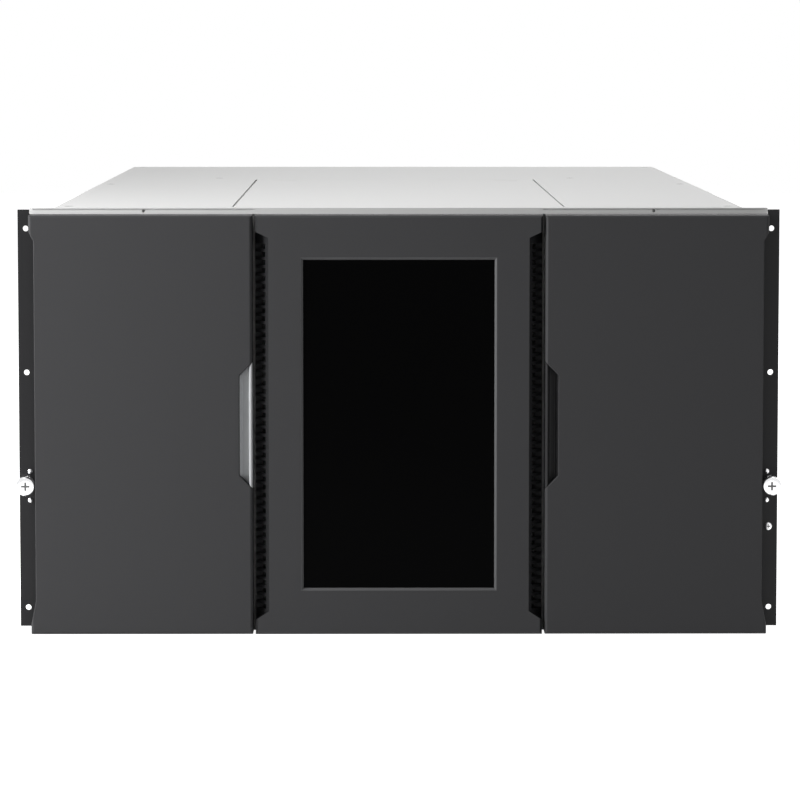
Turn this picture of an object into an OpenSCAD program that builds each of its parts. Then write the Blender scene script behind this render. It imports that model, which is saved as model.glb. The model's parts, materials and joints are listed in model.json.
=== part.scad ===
// Rack-mounted data tape library: two pull-out magazines, a robot in the aisle
// between them, a front bezel with a touch screen, and drives and supplies behind.
// +X is to the right, +Y to the back, +Z up. The origin is at the base, under the middle.

/* [Cabinet] */
// Width of the cabinet between its side panels' outer faces
body_w = 430; // [426:1:436]
// Height of the cabinet, six rack units less clearance
body_h = 265.6; // [262:0.2:268]
// Depth from the front frame's face to the rear panel's outer face
body_d = 840; // [830:5:870]
// Thickness of the cabinet's sheet metal
sheet = 1.5; // [1.2:0.1:2]
// Height of the folded edges of the base and covers
fold_h = 12; // [8:1:16]
// Gap at each cover seam
seam = 1.2; // [0.8:0.1:2]

/* [Rack ears] */
// How far each ear stands out from the cabinet's side
ear_w = 22.5; // [20:0.5:26]
// Thickness of the ear plates
ear_t = 2.5; // [2:0.5:3]
// Distance from the rack holes' centres to the ear's outer edge
rack_edge = 4.95; // [4.5:0.05:7]
// Radius of the rack holes in the ears
rack_hole_r = 1.8; // [1.6:0.05:2.6]
// Length of the ear's leg along the side panel
ear_leg = 40; // [30:1:60]
// Radius of the thumbscrew's knob
knob_r = 6; // [5.4:0.1:6.2]
// Length of the thumbscrew's knob
knob_l = 11; // [8:1:14]
// Radius of the thumbscrew's shank
shank_r = 3; // [2.5:0.1:3.2]
// Height of the thumbscrews above the base
thumbscrew_z = 92.8; // [85:0.2:100]

/* [Front bezels] */
// How far the bezels stand out from the front frame
bezel_d = 22; // [18:1:26]
// Width of the centre bezel
centre_w = 178.6; // [174:0.2:182]
// Gap between neighbouring bezels
bezel_gap = 1.6; // [1:0.1:2.5]
// How far a magazine bezel reaches past the cabinet's side
bezel_over = 11.2; // [9:0.1:12]
// How much wider a magazine bezel is at its outer corners
corner_w = 3.2; // [2:0.1:4]
// Gap under the bezels
bezel_low = 0.4; // [0.2:0.2:2]
// Height of the frame's lip that shows above the bezels
lip_h = 3.8; // [3:0.2:6]
// Wall of the moulded bezels
bezel_wall = 2.6; // [2:0.2:3.4]
// Bevel along the front edges of the bezels
bevel = 1.4; // [0.8:0.2:2]

/* [Side vents] */
// Width of the vent recess beside the centre bezel
vent_w = 8.4; // [5:0.2:9]
// Depth over which the vent wall slopes back
vent_d = 12; // [8:1:14]
// Distance from one vent slot to the next
vent_pitch = 5; // [4.5:0.5:6]
// Height of a vent slot
vent_slot = 3.1; // [2.4:0.1:3.4]

/* [Screen] */
// Width of the screen opening
screen_w = 122; // [112:1:130]
// Height of the screen opening
screen_h = 208; // [190:1:216]
// Height of the screen opening's lower edge
screen_low = 27.8; // [22:0.2:30]
// Width of the trim round the glass
trim_w = 1.6; // [1:0.1:3]
// Thickness of the glass
glass_t = 2; // [1.5:0.1:3]

/* [Handles] */
// Depth of the handle pocket measured across the bezel
grip_w = 8.2; // [7:0.2:10]
// Height of the handle pocket at the bezel's edge
grip_h = 79; // [70:1:90]
// Depth of the handle pocket measured into the bezel
grip_d = 11; // [9:0.5:13]

/* [Magazines] */
// Columns of slots in one magazine
columns = 5; // [4:1:5]
// Room kept free above and below the magazine trays together
tray_room = 26; // [22:1:28]
// Width of a tape cartridge
tape_w = 105.4; // [104:0.2:106]
// Length of a tape cartridge
tape_l = 102; // [101:0.5:103]
// Thickness of a tape cartridge
tape_t = 21.5; // [21:0.1:22]
// Gap at each side of a cartridge in its slot
slot_gap = 0.8; // [0.5:0.1:1]
// Gap above a cartridge in its slot
slot_lift = 4.4; // [3.6:0.1:4.6]
// Thickness of the shelves between slots
shelf_t = 3; // [2.6:0.1:3.2]
// Thickness of the upright dividers and the back wall
divider_t = 3; // [2.5:0.1:3.4]
// Empty rows at the foot of the left magazine, used as mail slots
mail_rows = 1; // [1:1:2]

/* [Robot] */
// Module of the lifting gears
gear_m = 1; // [0.95:0.01:1.02]
// Teeth of each lifting pinion
pinion_teeth = 14; // [12:2:14]
// Width of the lifting gears and racks
gear_w = 6; // [4:0.5:7]
// Radius of the lifting shafts
shaft_r = 3; // [2.5:0.1:3.4]
// Radius of the carriage's guide rods
rod_r = 3; // [2.5:0.1:3.2]
// Running clearance of shafts and rods
run_gap = 0.05; // [0.03:0.01:0.08]
// Thickness of the platform's side rails
rail_t = 4; // [3:0.5:5]
// Wall of the picker's housing
picker_wall = 2; // [1.5:0.1:2.5]

/* [Drives and supplies] */
// Room kept free above and below the drives together
drive_room = 15; // [8:1:30]
// Height given to one drive
drive_pitch = 41.5; // [41:0.1:42]
// Width of a drive sled
drive_w = 150; // [148:1:154]
// Length of a drive sled
drive_l = 228; // [220:1:230]
// Width of a power supply
psu_w = 86; // [80:1:92]
// Height of a power supply
psu_h = 84; // [78:1:90]
// Length of a power supply
psu_l = 200; // [180:1:220]
// How far handles stand out behind the rear panel
rear_reach = 18; // [16:1:24]
// Room above and below the controller
ctrl_room = 34; // [24:1:50]
// Distance from the drives to the rear seam of the aisle cover
seam_to_drives = 89; // [60:1:120]

/* [Hidden] */
sides = [-1, 1];
slot_h = tape_t + slot_lift;
rows = floor((body_h - tray_room - shelf_t) / (slot_h + shelf_t));
drives = floor((body_h - drive_room) / drive_pitch);
$fn = 48;

// Where the cabinet starts and ends from front to back
front_y = -(bezel_d + body_d + rear_reach) / 2;
frame_y = front_y + bezel_d;
rear_y = frame_y + body_d;
frame_t = 2;
lip_hole_x = 159;
lip_groove_x = 90;
inner_x = body_w / 2 - sheet;
ear_x = body_w / 2 + ear_w;
lip_x = ear_x - 7.5;
lip_l = 14;
cover_y = frame_y + lip_l + seam;

// Magazine tray, tapes and guides
guide_t = 2;
guide_gap = 0.4;
guide_w = 16;
tray_lip = 3;
slot_w = tape_w + 2 * slot_gap;
tray_w = divider_t + tape_l + tray_lip;
tray_l = columns * slot_w + (columns + 1) * divider_t;
tray_h = rows * slot_h + (rows + 1) * shelf_t;
tray_out = inner_x - guide_t - guide_gap;
tray_in = tray_out - tray_w;
tray_y = frame_y + 14;
tray_raise = 4;
tray_z = (body_h - tray_h) / 2 + tray_raise;
tray_end = tray_y + tray_l;

// Bezels
bezel_z0 = bezel_low;
bezel_z1 = body_h - lip_h;
centre_x = centre_w / 2;
bx0 = centre_x + bezel_gap;
bx1 = body_w / 2 + bezel_over;
grip_z = (bezel_z0 + bezel_z1) / 2;
vent_z0 = bezel_z0 + 14.5;
vent_z1 = bezel_z1 - 14;
vent_count = floor((vent_z1 - vent_z0) / vent_pitch);
screen_top = screen_low + screen_h;
fit = 0.3;
// Where the magazine bezels end, just in front of the ears
bezel_back = frame_y - ear_t - fit;

// Ears and their screws
rack_x = ear_x - rack_edge;
ear_z0 = 3;
rack_holes_z = [14.8, 162.8, body_h - 12.8];
sleeve_l = 5;
sleeve_r = 5;
knob_y = frame_y - ear_t - sleeve_l - fit - knob_l;
shank_out = 12;
thread_r = shank_r - 0.2;
rivet_r = 1.7;
rivet_z = [thumbscrew_z - 10.3, thumbscrew_z + 7.8];
ear_screw_z = 65.8;
leg_screws_z = [40, body_h / 2, body_h - 40];

// Drive bay, supplies and controller
drive_front = rear_y - drive_l;
drive_z0 = (body_h - drives * drive_pitch) / 2;
bay_x = (drive_w / 2 + inner_x) / 2;
psu_gap = (body_h - 2 * psu_h) / 3;
ctrl_w = 108;
ctrl_h = body_h - 2 * ctrl_room;
ctrl_l = 180;
ctrl_z = ctrl_room;

// Robot: two shafts with pinions climb four racks and carry the platform
tooth_add = 0.9 * gear_m;
tooth_ded = 1.2 * gear_m;
pitch_r = gear_m * pinion_teeth / 2;
rack_t = 4;
rack_gear_x = tray_in - 2 - gear_w / 2;
front_shaft_y = frame_y + frame_t + rack_t + tooth_ded + pitch_r;
rear_shaft_y = drive_front - 8 - rack_t - tooth_ded - pitch_r;
shaft_z = 11;
rail_x = rack_gear_x - gear_w / 2 - 1.5;
rail_z0 = 5;
rail_h = 11;
rod_z = 11.5;
rod_x = rail_x - rail_t - rod_r - 2;
beam_t = 8;
rod_y0 = front_shaft_y + 9;
rod_y1 = rear_shaft_y - 9;
carriage_l = 70;
carriage_y = tray_y + tray_l / 2;
carriage_z0 = 7;
carriage_t = 9.2;
pivot_r = 6;
turn_z = carriage_z0 + carriage_t + 0.6;
turn_r = 40;
turn_t = 2;
pick_z = turn_z + turn_t;
pick_w = tape_w + 2 * picker_wall + 6;
pick_l = 116;
pick_h = tape_t + 2 * picker_wall + 5;
jaw_x = 26;

// Extrusions of a flat outline along each axis
module along_x(x0, x1) translate([x0, 0, 0]) rotate([90, 0, 90]) linear_extrude(x1 - x0) children();
module along_y(y0, y1) translate([0, y1, 0]) rotate([90, 0, 0]) linear_extrude(y1 - y0) children();
module along_z(z0, z1) translate([0, 0, z0]) linear_extrude(z1 - z0) children();
// A box from its lowest to its highest corner
module block(a, b) translate(a) cube(b - a);
// A flat rectangle from corner to corner
module rect(a, b) translate(a) square(b - a);
// A rod along Y or X
module rod_y(r, y0, y1) translate([0, y1, 0]) rotate([90, 0, 0]) cylinder(r = r, h = y1 - y0);
module rod_x(r, x0, x1) translate([x0, 0, 0]) rotate([0, 90, 0]) cylinder(r = r, h = x1 - x0);
// The right-hand piece, or its mirror image on the left
module on_side(s) mirror([s < 0 ? 1 : 0, 0, 0]) children();

// ---- Cabinet ----

module base_pan() color("silver")
    along_y(frame_y + frame_t, rear_y - sheet)
        union() {
            rect([-inner_x, 0], [inner_x, sheet]);
            for (s = sides) rect([s < 0 ? -inner_x : inner_x - sheet, 0],
                                 [s < 0 ? -inner_x + sheet : inner_x, fold_h]);
        }

// Upright sheet with folded top edge and vent slots beside the supplies
module side_panel(s) color("silver") on_side(s) difference() {
    union() {
        along_y(frame_y + frame_t, rear_y) rect([inner_x, 0], [body_w / 2, body_h - sheet]);
        along_y(frame_y + frame_t, rear_y - sheet)
            rect([inner_x - fold_h, body_h - 2 * sheet], [inner_x + sheet / 2, body_h - sheet]);
    }
    along_x(inner_x - 1, body_w / 2 + 1)
        for (row = [0:2], i = [0:9]) let (z = 50 + row * (body_h - 78) / 3)
            rect([rear_y - 170 + i * 12, z], [rear_y - 166 + i * 12, z + (body_h - 144) / 3]);
    for (y = [cover_y + 10, (cover_y + rear_y) / 2, rear_y - 12])
        translate([inner_x - fold_h / 2, y, body_h - 3 * sheet]) cylinder(r = 1.25, h = 3 * sheet);
}

module rear_panel() color("silver") along_y(rear_y - sheet, rear_y)
    difference() {
        rect([-inner_x, sheet], [inner_x, body_h - sheet]);
        rect([-drive_w / 2 - 0.5, drive_z0 - 0.5],
             [drive_w / 2 + 0.5, drive_z0 + drives * drive_pitch + 0.5]);
        for (i = [0:1]) rect([bay_x - psu_w / 2 - 1, psu_z(i) - 1],
                             [bay_x + psu_w / 2 + 1, psu_z(i) + psu_h + 1]);
        rect([-bay_x - ctrl_w / 2 + 8, ctrl_z + 8], [-bay_x + ctrl_w / 2 - 8, ctrl_z + ctrl_h - 8]);
    }

// Welded front frame: three openings, and a lip across the top that carries the covers
module front_frame() color("gainsboro") {
    along_y(frame_y, frame_y + frame_t) difference() {
        rect([-body_w / 2, 0], [body_w / 2, body_h - sheet / 2]);
        for (s = sides) rect([s < 0 ? -tray_out - 1 : tray_in - 1.5, tray_z - 1.5],
                             [s < 0 ? -tray_in + 1.5 : tray_out + 1, tray_z + tray_h + 1.5]);
        rect([-centre_x + 12, screen_low - 8], [centre_x - 12, screen_top + 8]);
    }
    difference() {
        block([-lip_x, frame_y - ear_t, body_h - lip_h], [lip_x, frame_y + lip_l, body_h]);
        block([-lip_x + sheet, frame_y - ear_t + sheet, body_h - lip_h - 1],
              [lip_x - sheet, frame_y + lip_l + 1, body_h - sheet]);
        for (s = sides) on_side(s) {
            block([body_w / 2, frame_y + frame_t, body_h - lip_h - 1], [lip_x + 1, frame_y + lip_l + 1, body_h + 1]);
            block([lip_groove_x, frame_y - ear_t - 1, body_h - 1.3], [lip_x - 2, frame_y - ear_t + 0.8, body_h - 0.7]);
            translate([lip_hole_x, 0, body_h - lip_h / 2]) rod_y(0.9, frame_y - ear_t - 1, frame_y - ear_t + sheet + 1);
        }
    }
}

cover_x = 103.5;
cover_end = drive_front - seam_to_drives;
seam_screw_x = 133.5;
seam_screw_y = cover_end + 36.5;
// Cover over the sides and the drive bay with a stiffening strip, cut away over the aisle
module top_cover() color("gainsboro") difference() {
    union() {
        block([-body_w / 2, cover_y, body_h - sheet], [body_w / 2, rear_y, body_h]);
        block([-inner_x + fold_h + 1, seam_screw_y - 5, body_h - 2 * sheet], [inner_x - fold_h - 1, seam_screw_y + 5, body_h - sheet]);
    }
    block([-cover_x - seam, cover_y - 1, body_h - sheet - 1], [cover_x + seam, cover_end + seam, body_h + 1]);
    cover_screw_places() countersink(0.1);
    for (s = sides) translate([s * seam_screw_x, seam_screw_y, body_h - 3 * sheet]) cylinder(r = 1.25, h = 3 * sheet);
}
// Loose cover over the aisle, taken out when another module is stacked on this one
module centre_cover() color("gainsboro") difference() {
    union() {
        block([-cover_x, cover_y, body_h - sheet], [cover_x, cover_end, body_h]);
        block([-cover_x - 6, cover_y + 40, body_h - 2 * sheet], [cover_x + 6, cover_end - 40, body_h - sheet]);
    }
    for (s = sides) on_side(s)
        block([cover_x - 30, cover_end - 18, body_h - sheet - 1], [cover_x - 12, cover_end - 14, body_h + 1]);
}
module cover_screw_places() {
    for (s = sides, y = [cover_y + 10, (cover_y + rear_y) / 2, rear_y - 12])
        translate([s * (inner_x - fold_h / 2), y, body_h - sheet]) children();
    for (s = sides) translate([s * seam_screw_x, seam_screw_y, body_h - sheet]) children();
}
module countersink(gap) cylinder(r1 = 1.5 + gap, r2 = 3 + gap, h = sheet);
module cover_screws() color("dimgray") cover_screw_places() {
    countersink(0);
    translate([0, 0, -2.5]) cylinder(r = 1.2, h = 2.5 + sheet / 2);
}

// ---- Rack ears ----

module rack_ear(s) color("black") on_side(s) difference() {
    union() {
        along_y(frame_y - ear_t, frame_y) {
            rect([body_w / 2, ear_z0], [ear_x, body_h - lip_h]);
            rect([lip_x + fit, ear_z0], [ear_x, body_h - 1]);
        }
        block([body_w / 2, frame_y - ear_t, ear_z0], [body_w / 2 + ear_t, frame_y + ear_leg, body_h - lip_h]);
    }
    for (z = rack_holes_z) translate([rack_x, 0, z]) rod_y(rack_hole_r, frame_y - ear_t - 1, frame_y + 1);
    translate([rack_x, 0, thumbscrew_z]) rod_y(shank_r + fit, frame_y - ear_t - 1, frame_y + 1);
    for (z = leg_screws_z) translate([0, frame_y + ear_leg - 12, z])
        rod_x(2.2, body_w / 2 - 1, body_w / 2 + ear_t + 1);
}
module ear_rivets() color("silver") {
    for (s = sides, z = rivet_z) translate([s * (rack_x - 1.8), frame_y - ear_t, z]) rivet(rivet_r);
    translate([rack_x - 0.8, frame_y - ear_t, ear_screw_z]) rivet(2.7);
    for (s = sides, z = leg_screws_z) on_side(s)
        translate([body_w / 2 + ear_t, frame_y + ear_leg - 12, z]) rotate([0, 0, 90]) rivet(3.4);
}
// Low round head facing -Y
module rivet(r) rotate([90, 0, 0]) rotate_extrude()
    intersection() {
        translate([0, -r]) circle(r = 1.6 * r);
        square([r, r]);
    }
module thumbscrew_sleeves() color("silver") for (s = sides)
    translate([s * rack_x, 0, thumbscrew_z]) difference() {
        rod_y(sleeve_r, frame_y - ear_t - sleeve_l, frame_y - ear_t);
        rod_y(shank_r + run_gap, frame_y - ear_t - sleeve_l - 1, frame_y);
    }
// Knurled captive screw with a cross recess, free to turn in its sleeve
module thumbscrew(s) color("whitesmoke") translate([s * rack_x, 0, thumbscrew_z]) {
    difference() {
        union() {
            rod_y(knob_r - 0.5, knob_y, knob_y + knob_l);
            translate([0, knob_y + knob_l, 0]) rotate([90, 0, 0]) along_z(1.5, knob_l - 1.5) knurl();
        }
        for (a = [0, 90]) rotate([0, a, 0])
            block([-3, knob_y - 1, -0.6], [3, knob_y + 2, 0.6]);
    }
    rod_y(shank_r, knob_y + knob_l, frame_y);
    rod_y(thread_r, frame_y, frame_y + shank_out);
}
module knurl(teeth = 24) polygon([for (i = [0:2 * teeth - 1])
    let (r = i % 2 == 0 ? knob_r : knob_r - 0.5, a = i * 180 / teeth) [r * cos(a), r * sin(a)]]);

function psu_z(i) = psu_gap + i * (psu_h + psu_gap);

// ---- Centre bezel and screen ----

// Moulded shell with bevelled front edges, hollow from behind
module bezel_shell(x0, x1, z0, z1, back) intersection() {
    along_y(front_y, back) children();
    along_z(z0 - 1, z1 + 1) polygon([[x0, frame_y], [x0, front_y + bevel], [x0 + bevel, front_y],
                                     [x1 - bevel, front_y], [x1, front_y + bevel], [x1, frame_y]]);
    along_x(x0 - 1, x1 + 1) polygon([[frame_y, z0], [front_y + bevel, z0], [front_y, z0 + bevel],
                                     [front_y, z1 - bevel], [front_y + bevel, z1], [frame_y, z1]]);
}
module centre_bezel() color("dimgray") difference() {
    bezel_shell(-centre_x, centre_x, bezel_z0, bezel_z1, frame_y)
        rect([-centre_x, bezel_z0], [centre_x, bezel_z1]);
    for (s = sides) on_side(s) vent_recess();
    along_z(bezel_z0 + bezel_wall, bezel_z1 - bezel_wall) centre_hollow();
    for (s = sides) on_side(s) along_x(centre_x - vent_w - bezel_wall, centre_x + 1)
        for (i = [0:vent_count - 1]) let (z = vent_z0 + (i + 0.5) * vent_pitch - vent_slot / 2)
            rect([front_y + bezel_wall + 0.1, z], [front_y + vent_d - 0.4, z + vent_slot]);
    along_y(front_y - 1, frame_y) rect([-screen_w / 2, screen_low], [screen_w / 2, screen_top]);
}
// The wedge that slopes the vent wall back, with slanted ends
module vent_recess() intersection() {
    along_z(bezel_z0, bezel_z1) polygon([[centre_x - vent_w, front_y - 1], [centre_x - vent_w, front_y],
        [centre_x, front_y + vent_d], [centre_x + 1, front_y + vent_d], [centre_x + 1, front_y - 1]]);
    along_y(front_y - 2, frame_y) polygon([
        [centre_x + 2, bezel_z0 + 8], [centre_x, bezel_z0 + 9], [centre_x - vent_w, vent_z0],
        [centre_x - vent_w, vent_z1], [centre_x, bezel_z1 - 10], [centre_x + 2, bezel_z1 - 9]]);
}
module centre_hollow() polygon([
    [-centre_x + bezel_wall, frame_y], [-centre_x + bezel_wall, front_y + vent_d + bezel_wall],
    [-centre_x + vent_w + bezel_wall, front_y + bezel_wall],
    [centre_x - vent_w - bezel_wall, front_y + bezel_wall],
    [centre_x - bezel_wall, front_y + vent_d + bezel_wall], [centre_x - bezel_wall, frame_y]]);

trim_in = screen_w / 2 - trim_w;
panel_y = front_y + 6;
glass_y = front_y + 1.6;
module screen_trim() color("gray") difference() {
    along_y(front_y + 0.4, panel_y) rect([-screen_w / 2, screen_low], [screen_w / 2, screen_top]);
    along_y(front_y, panel_y + 1) rect([-trim_in, screen_low + trim_w], [trim_in, screen_top - trim_w]);
}
module screen_glass() color("black") along_y(glass_y, glass_y + glass_t)
    rect([-trim_in, screen_low + trim_w], [trim_in, screen_top - trim_w]);
// Display in its metal can, with the driver board on standoffs behind it
module display_panel() {
    color("silver") along_y(panel_y, panel_y + 6)
        rect([-screen_w / 2 - 3, screen_low - 3], [screen_w / 2 + 3, screen_top + 3]);
    color("gold") for (s = sides, z = [screen_low + 16, screen_top - 16])
        translate([s * (screen_w / 2 - 14), 0, z]) rod_y(2.5, panel_y + 6, panel_y + 9);
    color("green") along_y(panel_y + 9, panel_y + 10.6)
        rect([-screen_w / 2 + 6, screen_low + 8], [screen_w / 2 - 6, screen_top - 8]);
    color("black") along_y(panel_y + 10.6, panel_y + 12.2)
        for (i = [0:2]) rect([-40 + i * 28, screen_low + 60], [-24 + i * 28, screen_low + 76]);
}

// ---- Magazines ----

rib_z = [for (i = [1:3]) bezel_z0 + i * (bezel_z1 - bezel_z0) / 4 + 12];
// Outline that is wider at its outer corners
module magazine_outline() polygon([[bx0, bezel_z0], [bx1 + corner_w, bezel_z0],
    [bx1 + corner_w, bezel_z0 + 5], [bx1, bezel_z0 + 21], [bx1, bezel_z1 - 16],
    [bx1 + corner_w, bezel_z1 - 10], [bx1 + corner_w, bezel_z1], [bx0, bezel_z1]]);
// Handle outline with slanted ends, shrunk all round by a gap
module grip_outline(gap) let (tall = grip_h / 2 - gap, x1 = bx0 + grip_w - gap)
    polygon([[bx0 - 1, grip_z - tall - 1], [x1, grip_z - tall + grip_w],
             [x1, grip_z + tall - grip_w], [bx0 - 1, grip_z + tall + 1]]);
module magazine_bezel(s) color("dimgray") on_side(s) difference() {
    bezel_shell(bx0, bx1 + corner_w, bezel_z0, bezel_z1, bezel_back) magazine_outline();
    difference() {
        along_y(front_y + bezel_wall, frame_y) difference() {
            rect([bx0 + bezel_wall, bezel_z0 + bezel_wall], [bx1 - bezel_wall, bezel_z1 - bezel_wall]);
            grip_outline(-bezel_wall);
        }
        for (z = rib_z) block([bx0, front_y, z], [bx1, frame_y, z + 2]);
    }
    along_y(front_y - 1, front_y + grip_d) grip_outline(0);
}
// Grip with a raised nose along the bezel's edge and a floor that falls away behind it
module handle(s) color(s < 0 ? "silver" : "dimgray") on_side(s) intersection() {
    along_y(front_y, front_y + grip_d) intersection() {
        grip_outline(0.2);
        rect([bx0, bezel_z0], [bx1, bezel_z1]);
    }
    along_z(bezel_z0, bezel_z1) polygon([[bx0, front_y + grip_d], [bx0, front_y + 1.2], [bx0 + 0.7, front_y + 0.5],
        [bx0 + 1.8, front_y + 0.5], [bx0 + 2.6, front_y + 4], [bx0 + grip_w - 1.8, front_y + 5.5],
        [bx0 + grip_w, front_y + 0.8], [bx0 + grip_w, front_y + grip_d]]);
}
// One moulding with rows r0 to r1: shelves notched for the robot's jaws, dividers, a back wall
// with a window at each slot, and a nose that passes through the front frame to the bezel
module magazine_tray(s, r0, r1) color("dimgray") on_side(s)
    let (last = r1 == rows ? rows : r1 - 1, z0 = shelf_z(r0), z1 = r1 == rows ? tray_z + tray_h : shelf_z(r1)) {
        for (r = [r0:last]) along_z(shelf_z(r), shelf_z(r) + shelf_t) difference() {
            rect([tray_in, r == 0 || r == rows ? bezel_back : tray_y], [tray_out, tray_end]);
            if (r > 0 && r < rows) for (c = [0:columns - 1])
                rect([tray_in - 1, slot_y(c) + slot_w * 0.3], [tray_in + 22, slot_y(c) + slot_w * 0.7]);
        }
        for (y = concat([bezel_back + divider_t], [for (c = [0:columns]) slot_y(c)])) along_y(y - divider_t, y)
            rect([tray_in, z0], [tray_out, z1]);
        along_x(tray_out - divider_t, tray_out) difference() {
            rect([bezel_back, z0], [tray_end, z1]);
            for (c = [0:columns - 1], r = [r0:r1 - 1])
                let (y = slot_y(c) + slot_w / 2, z = shelf_z(r) + shelf_t) rect([y - 28, z + 7], [y + 28, z + 17]);
        }
    }
function shelf_z(r) = tray_z + r * (slot_h + shelf_t);
function slot_y(c) = tray_y + divider_t + c * (slot_w + divider_t);
// Cartridges, front face towards the aisle, in every slot but the mail slots
module tapes(s) color(s < 0 ? "darkslategray" : "midnightblue") on_side(s)
    for (c = [0:columns - 1], r = [s < 0 ? mail_rows : 0 : rows - 1])
        translate([tray_in + tray_lip, slot_y(c) + slot_gap, shelf_z(r) + shelf_t]) cartridge();
module cartridge() difference() {
    cube([tape_l, tape_w, tape_t]);
    translate([-1, 12, 5]) cube([2, tape_w - 36, 12]);
    for (y = [-1, tape_w - 2]) translate([14, y, tape_t / 2 - 4]) cube([10, 3, 8]);
    translate([-1, -1, -1]) cube([8, 5, tape_t + 2]);
}
// Channels above and below the tray, fixed to the side panel
module guide_rails(s) color("silver") on_side(s) along_y(frame_y + frame_t, tray_end + 30) {
    guide_profile();
    translate([0, 2 * tray_z + tray_h]) mirror([0, 1]) guide_profile();
}
module guide_profile() {
    rect([inner_x - guide_w, tray_z - guide_gap - guide_t], [inner_x, tray_z - guide_gap]);
    rect([inner_x - guide_t, tray_z - guide_gap - guide_t], [inner_x, tray_z + 10]);
}

// ---- Robot ----

rack_pitch_z = PI * gear_m;
pressure = 20;
base_r = pitch_r * cos(pressure);
root_r = pitch_r - tooth_ded;
function inv(a) = tan(a) * 180 / PI - a;
// Half the angle of an involute tooth at radius r, thinned by 1.2 degrees for backlash
function half_tooth(r) = 90 / pinion_teeth - 1.2 + inv(pressure) - inv(acos(min(1, base_r / r)));
function tooth_point(t, flank, r) =
    let (a = (t + 0.5) * 360 / pinion_teeth + flank * half_tooth(max(r, base_r)))
    [r * cos(a), r * sin(a)];
module pinion_outline() let (steps = 4, tip_r = pitch_r + tooth_add) polygon([
    for (t = [0:pinion_teeth - 1]) each concat([tooth_point(t, -1, root_r)],
        [for (i = [0:steps]) tooth_point(t, -1, base_r + (tip_r - base_r) * i / steps)],
        [for (i = [steps:-1:0]) tooth_point(t, 1, base_r + (tip_r - base_r) * i / steps)],
        [tooth_point(t, 1, root_r)])]);
// Toothed strip standing on the base, teeth towards -Y of its pitch line
module rack_outline() let (z0 = sheet, z1 = body_h - 3 * sheet, half = rack_pitch_z / 4 - 0.12,
                           lean = tan(pressure), low = -floor((shaft_z - z0 - 3) / rack_pitch_z),
                           high = floor((z1 - shaft_z - 3) / rack_pitch_z))
    polygon(concat([[rack_t + tooth_ded, z0], [tooth_ded, z0]],
        [for (i = [low:high]) let (z = shaft_z + i * rack_pitch_z) each [
            [tooth_ded, z - half - tooth_ded * lean], [-tooth_add, z - half + tooth_add * lean],
            [-tooth_add, z + half - tooth_add * lean], [tooth_ded, z + half + tooth_ded * lean]]],
        [[tooth_ded, z1], [rack_t + tooth_ded, z1]]));
// Two racks at the front and two at the back, their teeth towards the shafts
module lift_racks() color("gray") for (s = sides) gear_band(s) {
    translate([front_shaft_y - pitch_r, 0]) mirror([1, 0]) rack_outline();
    translate([rear_shaft_y + pitch_r, 0]) rack_outline();
}
module gear_band(s) along_x(s * rack_gear_x - gear_w / 2, s * rack_gear_x + gear_w / 2) children();
module lift_shaft(at_y) color("silver") {
    translate([0, at_y, shaft_z]) rod_x(shaft_r, -rack_gear_x - gear_w / 2, rack_gear_x + gear_w / 2);
    for (s = sides) gear_band(s) translate([at_y, shaft_z]) pinion_outline();
}
// Two side rails joined by a beam at each end; the rails' ends carry the shafts
module lift_platform() color("lightgray") difference() {
    union() {
        for (s = sides) on_side(s) block([rail_x - rail_t, front_shaft_y - 7, rail_z0],
                                         [rail_x, rear_shaft_y + 7, rail_z0 + rail_h]);
        for (y = [rod_y0, rod_y1 - beam_t]) block([-rail_x, y, rail_z0], [rail_x, y + beam_t, rail_z0 + rail_h]);
    }
    for (y = [front_shaft_y, rear_shaft_y]) translate([0, y, shaft_z])
        rod_x(shaft_r + run_gap, -rail_x - 1, rail_x + 1);
    for (s = sides) translate([s * rod_x, 0, rod_z]) rod_y(rod_r, rod_y0 - 1, rod_y1 + 1);
}
module platform_rods() color("whitesmoke") for (s = sides)
    translate([s * rod_x, 0, rod_z]) rod_y(rod_r, rod_y0, rod_y1);
// Gearmotor with a hollow shaft, bolted to the front beam
module lift_motor() color("dimgray") difference() {
    union() {
        block([-22, front_shaft_y - 6.5, 4], [22, rod_y0, 18]);
        translate([0, front_shaft_y, shaft_z]) rod_x(6, 22, 58);
    }
    translate([0, front_shaft_y, shaft_z]) rod_x(shaft_r + run_gap, -23, 59);
}
// Sledge that runs along the rods
module carriage() color("gainsboro") difference() {
    union() {
        block([-rod_x, carriage_y - carriage_l / 2, carriage_z0], [rod_x, carriage_y + carriage_l / 2, carriage_z0 + 4]);
        for (s = sides) on_side(s) block([rod_x - rod_r - 3, carriage_y - carriage_l / 2, carriage_z0],
            [rod_x + rod_r + 1.5, carriage_y + carriage_l / 2, carriage_z0 + carriage_t]);
        translate([0, carriage_y, carriage_z0]) cylinder(r = turn_r - 8, h = carriage_t);
    }
    for (s = sides) translate([s * rod_x, 0, rod_z])
        rod_y(rod_r + run_gap, carriage_y - carriage_l, carriage_y + carriage_l);
    translate([0, carriage_y, carriage_z0 - 1]) cylinder(r = pivot_r + run_gap, h = carriage_t + 2);
}
module turntable() color("silver") translate([0, carriage_y, 0]) {
    translate([0, 0, turn_z]) cylinder(r = turn_r, h = turn_t);
    translate([0, 0, carriage_z0 + 1]) cylinder(r = pivot_r, h = turn_z - carriage_z0);
}
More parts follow.
